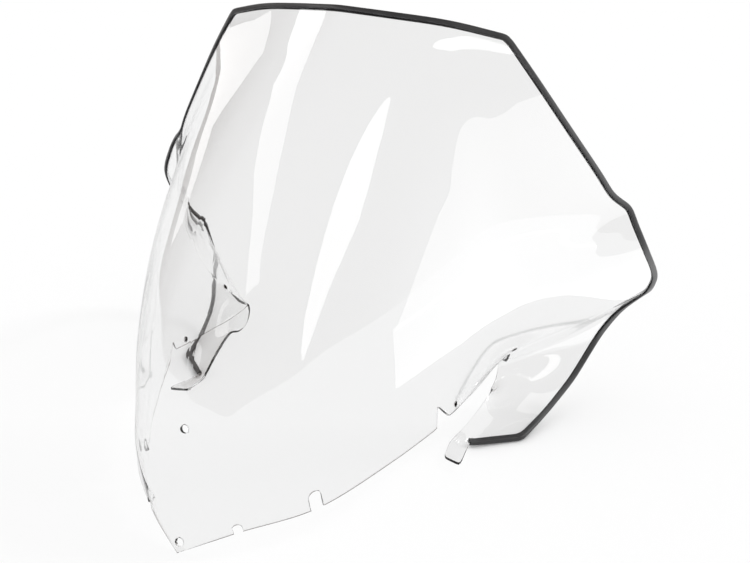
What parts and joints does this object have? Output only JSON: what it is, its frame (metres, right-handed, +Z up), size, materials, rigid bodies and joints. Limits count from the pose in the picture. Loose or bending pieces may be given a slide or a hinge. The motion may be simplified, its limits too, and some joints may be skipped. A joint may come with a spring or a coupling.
{
  "type": "windshield screen",
  "caption": "Clear formed motorcycle windshield with a vee nose, folded-under side wings, fixing holes and notches, and a black U-section edge trim.",
  "frame": {"origin": "middle of the bottom face of the bounding box, on the surface that the nose and the wing feet stand on", "axes": "+X to the rider's right, -Y forwards where the nose points, +Z up"},
  "size_m": [0.6402, 0.4774, 0.4489],
  "materials": {
    "clear_sheet": "clear, polished",
    "black_trim": "satin black"
  },
  "bodies": {
    "root": {"screen_pane": "clear_sheet", "edge_trim": "black_trim"}
  },
  "joints": []
}
